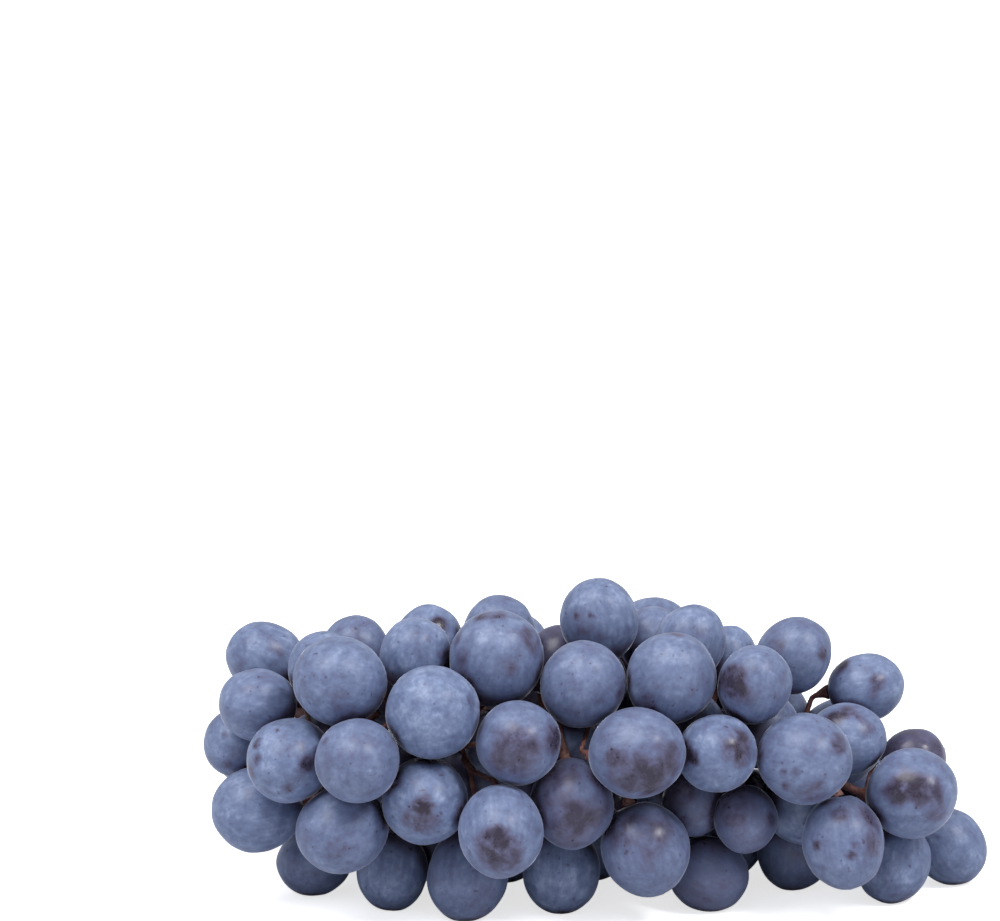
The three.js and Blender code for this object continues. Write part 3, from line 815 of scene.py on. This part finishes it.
def disc_tree():
    """The tree that turns points into warty discs."""
    tree, given, result = new_tree("disc", {**DISC_SIZES, "Bark": None})
    add = partial(add_node, tree)
    sizes = given.outputs
    cone = add(
        "GeometryNodeMeshCone",
        {"Vertices": DISC_SIDES, "Side Segments": DISC_BANDS, "Radius Bottom": sizes["Thin End"],
         "Radius Top": sizes["Wide End"], "Depth": sizes["Height"]},
    )
    below = add("ShaderNodeMath", {0: sizes["Seat"], 1: sizes["Height"]}, operation="SUBTRACT")
    shift = add("ShaderNodeCombineXYZ", {"Z": below})
    seated = add("GeometryNodeTransform", {"Geometry": cone, "Translation": shift})
    axis = add("GeometryNodeInputNamedAttribute", {"Name": "axis"}, data_type="FLOAT_VECTOR")
    turn = add("FunctionNodeAlignRotationToVector", {"Vector": axis}, axis="Z")
    discs = add(
        "GeometryNodeInstanceOnPoints", {"Points": sizes["Geometry"], "Instance": seated, "Rotation": turn}
    )
    real = add("GeometryNodeRealizeInstances", {"Geometry": discs})
    lumps = add("ShaderNodeTexNoise", {"Scale": 1 / WART_SPACING, "Detail": 1.0}).outputs["Color"]
    stray_way = add("ShaderNodeVectorMath", {0: lumps, 1: (0.5, 0.5, 0.5)}, operation="SUBTRACT")
    push = add("ShaderNodeVectorMath", {0: stray_way, "Scale": sizes["Warts"]}, operation="SCALE")
    warty = add("GeometryNodeSetPosition", {"Geometry": real, "Offset": push})
    whole = add("GeometryNodeRealizeInstances", {"Geometry": warty})
    barked = add("GeometryNodeSetMaterial", {"Geometry": whole, "Material": sizes["Bark"]})
    tree.links.new(barked.outputs[0], result.inputs[0])
    return tree


make_discs = disc_tree()
print("the disc tree has", len(make_discs.nodes), "nodes")

# %% [markdown]
# ## The bark of the stem
#
# A fresh grape stem is green wood under a thin bark. On dark grapes it is pinkish brown, paler on the
# stalks, with rust-brown corky dots and a dull, dry surface. The cut end shows pale wood inside a brown rim.
#
# Its colour is a slow noise between three browns, with a fine noise for the corky dots. Wood and bark are
# rough and have an IOR of about 1.45.

# %% Material: bark and cut wood
BARK_COLOURS = [(0.25, "#513234"), (0.5, "#7f534d"), (0.75, "#ad897b")]
CORK_BROWN = "#4a2c22"
CUT_WOOD = "#c9b88c"
BARK_PATCHES = 7 * MM
CORK_DOTS = 0.9 * MM
BARK_GRAIN = 0.8 * MM


def bark():
    """Bark with corky dots, and bare wood where the stem was cut."""
    material, tree = new_material("fresh_stem_bark")
    add = partial(add_node, tree)
    place = add("ShaderNodeTexCoord").outputs["Object"]
    patches = add(
        "ShaderNodeTexNoise", {"Vector": place, "Scale": 1 / BARK_PATCHES, "Detail": 4.0, "Roughness": 0.6}
    )
    colour = add("ShaderNodeValToRGB", {"Fac": patches})
    colour.color_ramp.elements.new(0.5)
    for element, (position, shade) in zip(colour.color_ramp.elements, BARK_COLOURS):
        element.position = position
        element.color = linear(shade)
    corks = add("ShaderNodeTexNoise", {"Vector": place, "Scale": 1 / CORK_DOTS, "Detail": 2.0})
    dots = add(
        "ShaderNodeMapRange",
        {"Value": corks, "From Min": 0.36, "From Max": 0.44, "To Min": 0.75, "To Max": 0.0},
    )
    dotted = add(
        "ShaderNodeMix", {"Factor": dots, "A": colour, "B": linear(CORK_BROWN)}, data_type="RGBA"
    ).outputs["Result"]
    wood_share = add("ShaderNodeAttribute", attribute_name="cut_wood").outputs["Fac"]
    wooded = add(
        "ShaderNodeMix", {"Factor": wood_share, "A": dotted, "B": linear(CUT_WOOD)}, data_type="RGBA"
    ).outputs["Result"]
    grain = add("ShaderNodeTexNoise", {"Vector": place, "Scale": 1 / BARK_GRAIN, "Detail": 3.0})
    bump = add("ShaderNodeBump", {"Height": grain, "Strength": 0.5, "Distance": 0.3 * MM})
    surface = add(
        "ShaderNodeBsdfPrincipled", {"Base Color": wooded, "Roughness": 0.62, "IOR": 1.45, "Normal": bump}
    )
    add("ShaderNodeOutputMaterial", {"Surface": surface})
    return material


stem_bark = bark()
print(stem_bark.name, "has", len(stem_bark.node_tree.nodes), "nodes")

# %% [markdown]
# ## The cut end
#
# The bunch was cut from the vine with shears, so the thick end of its stem is a flat face of pale wood with a
# thin rim of bark. The face could be a material of its own, but its edge would then follow the faces of the
# mesh. A number on each corner gives a soft round edge: one on the wood, zero on the bark.
#
# The tip is the corner of the stem that lies farthest up, back and to the left. The middle of the corners
# near it and the middle of those in a wider reach give the direction of the stem there.

# %% Find the wood of the cut end
TIP_REACH = 7 * MM
STEM_REACH = 16 * MM
END_REACH = 8 * MM
WOOD_RADIUS = 2.0 * MM
BARK_RADIUS = 2.5 * MM
CUT_DEPTH = 0.5 * MM


def cut_wood(points):
    """How much of the pale cut wood each point of the stem shows, from 0 to 1."""
    tip = stem_points[np.argmax(stem_points @ (UP - RIGHT - FRONT))]
    away = np.linalg.norm(stem_points - tip, axis=1)
    end, start = (stem_points[away < reach].mean(axis=0) for reach in (TIP_REACH, STEM_REACH))
    along = (end - start) / np.linalg.norm(end - start)
    height = points @ along
    near = np.linalg.norm(points - tip, axis=1) < END_REACH
    top = height[near].max()
    middle = points[near & (height > top - CUT_DEPTH)].mean(axis=0)
    aside = np.linalg.norm(np.cross(points - middle, along), axis=1)
    on_face = smooth_step(height, top - 2 * CUT_DEPTH, top - CUT_DEPTH)
    return near * on_face * (1 - smooth_step(aside, WOOD_RADIUS, BARK_RADIUS))


print(f"the pale wood is {2 * WOOD_RADIUS / MM:.0f} mm wide, inside its rim of bark")

# %% [markdown]
# ## One outer skin
#
# Where branches cross, a remesh can close in a pocket of a voxel or two. Grown wood has none, and nobody
# would ever see it. So the corners are sorted into parts that hang together, and only the largest part is
# kept.

# %% Helper that keeps the outer skin
def keep_outer_skin(mesh):
    """Takes away every face that isn't joined to the largest part of a mesh."""
    whole = bmesh.new()
    whole.from_mesh(mesh)
    left = set(whole.verts)
    parts = []
    while left:
        part = {left.pop()}
        to_visit = list(part)
        while to_visit:
            corner = to_visit.pop()
            near = {edge.other_vert(corner) for edge in corner.link_edges} & left
            left -= near
            part |= near
            to_visit.extend(near)
        parts.append(part)
    parts.sort(key=len)
    loose = [corner for part in parts[:-1] for corner in part]
    bmesh.ops.delete(whole, geom=loose, context="VERTS")
    whole.to_mesh(mesh)
    whole.free()
    return len(parts) - 1


# %% [markdown]
# ## Growing the stem together
#
# The copy of the solid and the discs go into one mesh. They could be joined with booleans, but those keep
# every sharp edge. A voxel remesh makes them one skin, and smoothing rounds it. The voxel size decides what
# survives: a stalk is about 1.6 mm thick, so voxels of under half a millimetre keep it round.

# %% Join the solid and the discs
VOXEL = 0.46 * MM
SMOOTHINGS = 4
SMOOTHING_SHARE = 0.5


def rough_stem_mesh():
    """The stem's solid and a disc at the stalk end of every grape, in one mesh."""
    ends = [{**grape, "centre": grape["centre"] - grape["half_length"] * grape["axis"]} for grape in grapes]
    points = points_mesh("disc_points", ends)
    discs = with_tree("discs", points, make_discs, {**DISC_SIZES, "Bark": stem_bark})
    both = bmesh.new()
    both.from_mesh(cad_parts["stem"].data)
    both.from_mesh(discs)
    bmesh.ops.remove_doubles(both, verts=both.verts, dist=SAME_PLACE)
    mesh = bpy.data.meshes.new("stem")
    both.to_mesh(mesh)
    both.free()
    return mesh


def grown_stem_mesh(rough):
    """A rough stem mesh, remeshed to one skin and smoothed."""
    start = bpy.data.objects.new("rough_stem", rough)
    bpy.context.collection.objects.link(start)
    remesh = start.modifiers.new("one skin", "REMESH")
    remesh.mode = "VOXEL"
    remesh.voxel_size = VOXEL
    remesh.use_smooth_shade = True
    smoothing = start.modifiers.new("rounded joints", "SMOOTH")
    smoothing.iterations = SMOOTHINGS
    smoothing.factor = SMOOTHING_SHARE
    grown = start.evaluated_get(bpy.context.evaluated_depsgraph_get())
    mesh = bpy.data.meshes.new_from_object(grown)
    bpy.data.objects.remove(start)
    return mesh


stem_skin = grown_stem_mesh(rough_stem_mesh())
stem_skin.name = "grape_stem"
pockets = keep_outer_skin(stem_skin)
print(f"the stem has {len(stem_skin.polygons)} faces, {pockets} loose parts were taken away")

# %% [markdown]
# ## Putting the stem in place
#
# The mesh gets its bark and the numbers for its cut end, and becomes the piece that stands for the stem.

# %% Make the stem's piece
stem_skin.materials.clear()
stem_skin.materials.append(stem_bark)
wood = cut_wood(corner_places(stem_skin))
store(stem_skin, "cut_wood", wood)
stem = bpy.data.objects.new("grape_stem", stem_skin)
bpy.context.collection.objects.link(stem)
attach(stem, "root")
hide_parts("stem")
print((wood > 0.5).sum(), "corners of the stem show cut wood")

# %% [markdown]
# ## The floor
#
# The bunch lies on a plain white sheet, wide enough to fill the picture from every side. To the camera the
# sheet is almost pure white and glows a little, so that the shadow on it stays faint. To the light that
# bounces off it, it is a pale grey without a glow, so that the undersides of the grapes stay dark.

# %% Lay the floor
FLOOR_WIDTH = 12.0
FLOOR_GLOW = 0.7

half = FLOOR_WIDTH / 2
floor_corners = [(-half, -half, 0), (half, -half, 0), (half, half, 0), (-half, half, 0)]
floor_mesh = bpy.data.meshes.new("floor")
floor_mesh.from_pydata(floor_corners, [], [(0, 1, 2, 3)])
floor = bpy.data.objects.new("floor", floor_mesh)
bpy.context.collection.objects.link(floor)

white_sheet, sheet_tree = new_material("white_paper_sheet")
add = partial(add_node, sheet_tree)
seen = add("ShaderNodeLightPath").outputs["Is Camera Ray"]
tone = add(
    "ShaderNodeMix", {"Factor": seen, "A": linear("#d2d4da"), "B": linear("#fbfbfd")}, data_type="RGBA"
).outputs["Result"]
glow = add("ShaderNodeMath", {0: seen, 1: FLOOR_GLOW}, operation="MULTIPLY")
paper = add(
    "ShaderNodeBsdfPrincipled",
    {
        "Base Color": tone, "Roughness": 0.9, "Specular IOR Level": 0.0,
        "Emission Color": linear("#ffffff"), "Emission Strength": glow,
    },
)
add("ShaderNodeOutputMaterial", {"Surface": paper})
floor_mesh.materials.append(white_sheet)
print(f"the floor is {FLOOR_WIDTH:.0f} m wide")

# %% [markdown]
# ## The light
#
# The light is that of a small studio: one broad soft light from above, in front and to the left, a small weak
# one from the right that gives each grape its little highlight, and an even white all round that keeps the
# shadows open. A sun lamp with a wide disc gives soft light that is equally strong everywhere. An area lamp
# close to the bunch would light its near side more.

# %% Hang the lights
SURROUND = "#eef1f8"
SURROUND_STRENGTH = 0.55
# Name, strength, how wide the light looks in degrees, and how far right, up and to the front it stands.
LAMPS = [("soft_box", 1.8, 38, (-0.38, 0.8, 0.55)), ("small_window", 1.2, 14, (0.53, 0.62, 0.55))]

world = bpy.data.worlds.new("studio")
bpy.context.scene.world = world
world.use_nodes = True
surround = world.node_tree.nodes["Background"]
surround.inputs["Color"].default_value = linear(SURROUND)
surround.inputs["Strength"].default_value = SURROUND_STRENGTH

for name, strength, width, (right, up, front) in LAMPS:
    lamp = bpy.data.lights.new(name, "SUN")
    lamp.energy = strength
    lamp.angle = math.radians(width)
    light = bpy.data.objects.new(name, lamp)
    light.rotation_euler = Vector(right * RIGHT + up * UP + front * FRONT).to_track_quat("Z", "Y").to_euler()
    bpy.context.collection.objects.link(light)

bpy.context.scene.view_settings.view_transform = "Standard"
print("lit by", len(LAMPS), "lamps and", world.name)

# %% [markdown]
# ## The camera
#
# The camera looks down at the bunch at 15 degrees through a long lens, from far away, so that all grapes
# are seen at the same scale. The bunch lies to the lower right of the middle of the picture. So the camera
# aims at a point to the left of it and above it.

# %% Aim the camera
CAMERA_DISTANCE = 2.4
SENSOR_WIDTH = 36.0
FARTHEST_SEEN = 20.0
PICTURE_WIDTH = 256.4 * MM
PICTURE_LEFT = 24.9 * MM
PICTURE_ABOVE = 69.8 * MM

camera_data = bpy.data.cameras.new("camera")
camera = bpy.data.objects.new("camera", camera_data)
bpy.context.collection.objects.link(camera)
bpy.context.scene.camera = camera
bunch_middle = (cad_low + cad_high) / 2
camera.location = bunch_middle + CAMERA_DISTANCE * Vector(FRONT)
aim = bunch_middle - PICTURE_LEFT * Vector(RIGHT) + PICTURE_ABOVE * Vector(UP)
camera.rotation_euler = (aim - camera.location).to_track_quat("-Z", "Y").to_euler()
camera_data.sensor_width = SENSOR_WIDTH
camera_data.lens = SENSOR_WIDTH * CAMERA_DISTANCE / PICTURE_WIDTH
camera_data.clip_end = FARTHEST_SEEN
print(f"a {camera_data.lens:.0f} mm lens, {CAMERA_DISTANCE} m away")

# %% [markdown]
# ## Finish
#
# The dressed bunch has to keep the size of the design, so the size of the design is printed.

# %% Print the size of the design
print("the design is", [round(v, 4) for v in cad_high - cad_low], "m")
